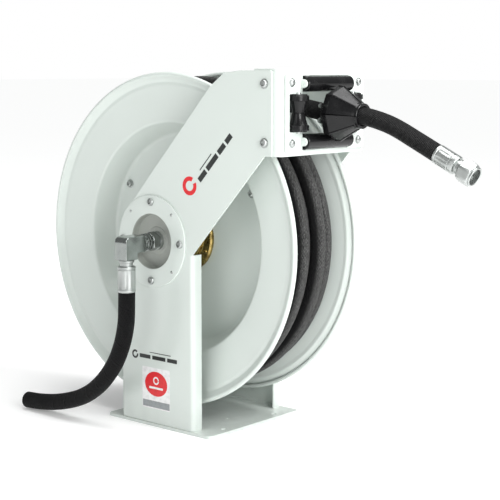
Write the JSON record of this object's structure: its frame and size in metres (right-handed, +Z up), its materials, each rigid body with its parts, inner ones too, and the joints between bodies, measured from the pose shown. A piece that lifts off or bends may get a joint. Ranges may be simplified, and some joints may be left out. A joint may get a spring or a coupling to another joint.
{
  "type": "spring rewind hose reel",
  "caption": "Floor-standing spring-rewind hose reel: dished drum between two sloping arms, roller guide, wound black rubber hose with stopper and swivel nut, swivel elbow inlet.",
  "frame": {"origin": "on the floor below the reel axis, midway between the arms, on the base plate's underside", "axes": "+X the way the hose leaves through the roller guide, +Y along the reel axis away from the inlet, +Z up"},
  "size_m": [0.8127, 0.2968, 0.5825],
  "materials": {
    "white_paint": "glossy pale grey-white powder coat",
    "zinc_plate": "bright zinc plate, lightly worn",
    "bright_nickel": "polished nickel plate",
    "yellow_brass": "turned brass",
    "hose_rubber": "black rubber with a wrapped-cloth texture",
    "black_plastic": "moulded black nylon",
    "spring_steel": "blued spring steel"
  },
  "bodies": {
    "stand": {"base_plate": "white_paint", "near_arm": "white_paint", "far_arm": "white_paint", "guide_box": "white_paint", "roller_plate": "white_paint", "near_hub_flange": "white_paint", "far_hub_flange": "white_paint", "top_roller_pin": "white_paint", "bottom_roller_pin": "white_paint", "near_arm_bolt_1": "zinc_plate", "near_arm_bolt_2": "zinc_plate", "far_arm_bolt_1": "zinc_plate", "far_arm_bolt_2": "zinc_plate", "guide_screw_1": "zinc_plate", "guide_screw_2": "zinc_plate", "guide_screw_3": "zinc_plate", "guide_screw_4": "zinc_plate", "near_hub_bolt_1": "zinc_plate", "near_hub_bolt_2": "zinc_plate", "near_hub_bolt_3": "zinc_plate", "near_hub_bolt_4": "zinc_plate", "axle": "zinc_plate", "far_axle_cap": "zinc_plate", "pawl_pin": "zinc_plate", "near_roller_pin": "zinc_plate", "far_roller_pin": "zinc_plate", "outlet_ferrule": "zinc_plate", "inlet_ferrule": "zinc_plate", "inlet_adapter": "bright_nickel", "inlet_swivel_nut": "bright_nickel", "inlet_elbow": "bright_nickel", "outlet_hose": "hose_rubber", "inlet_hose": "hose_rubber", "stopper_upper": "black_plastic", "stopper_lower": "black_plastic", "pawl_spring": "spring_steel"},
    "drum": {"near_disc": "white_paint", "far_disc": "white_paint", "drum_shell": "white_paint", "hub_barrel": "zinc_plate", "near_bearing": "zinc_plate", "far_bearing": "zinc_plate", "swivel_seal": "hose_rubber", "drum_outlet_pipe": "zinc_plate", "hub_gland": "yellow_brass", "tie_bolt_1": "zinc_plate", "tie_bolt_2": "zinc_plate", "tie_bolt_3": "zinc_plate", "hose_coil": "hose_rubber", "spring_case": "white_paint", "spring_cover": "white_paint", "power_spring": "spring_steel", "ratchet_wheel": "zinc_plate"},
    "top_roller": {"top_roller": "black_plastic"},
    "bottom_roller": {"bottom_roller": "black_plastic"},
    "near_roller": {"near_roller": "black_plastic"},
    "far_roller": {"far_roller": "black_plastic"},
    "pawl": {"pawl": "zinc_plate"},
    "outlet_nut": {"outlet_nut": "zinc_plate"}
  },
  "joints": [
    {"name": "drum_spin", "type": "hinge", "parent": "stand", "child": "drum", "pos_m": [0, 0, 0.305], "axis": [0, 1, 0], "range_deg": [0, 2520], "stiffness_Nm_per_rad": 0.25},
    {"name": "top_roller_spin", "type": "hinge", "parent": "stand", "child": "top_roller", "pos_m": [0.268, 0, 0.56], "axis": [0, 1, 0], "continuous": true},
    {"name": "bottom_roller_spin", "type": "hinge", "parent": "stand", "child": "bottom_roller", "pos_m": [0.268, 0, 0.473], "axis": [0, 1, 0], "continuous": true},
    {"name": "near_roller_spin", "type": "hinge", "parent": "stand", "child": "near_roller", "pos_m": [0.268, -0.068, 0.5165], "axis": [0, 0, 1], "continuous": true},
    {"name": "far_roller_spin", "type": "hinge", "parent": "stand", "child": "far_roller", "pos_m": [0.268, 0.068, 0.5165], "axis": [0, 0, 1], "continuous": true},
    {"name": "pawl_swing", "type": "hinge", "parent": "stand", "child": "pawl", "pos_m": [-0.05, 0, 0.227], "axis": [0, -1, 0], "range_deg": [0, 28], "stiffness_Nm_per_rad": 0.3},
    {"name": "outlet_nut_spin", "type": "hinge", "parent": "stand", "child": "outlet_nut", "pos_m": [0.4693, 0, 0.4611], "axis": [0.897, 0, -0.442], "continuous": true}
  ]
}
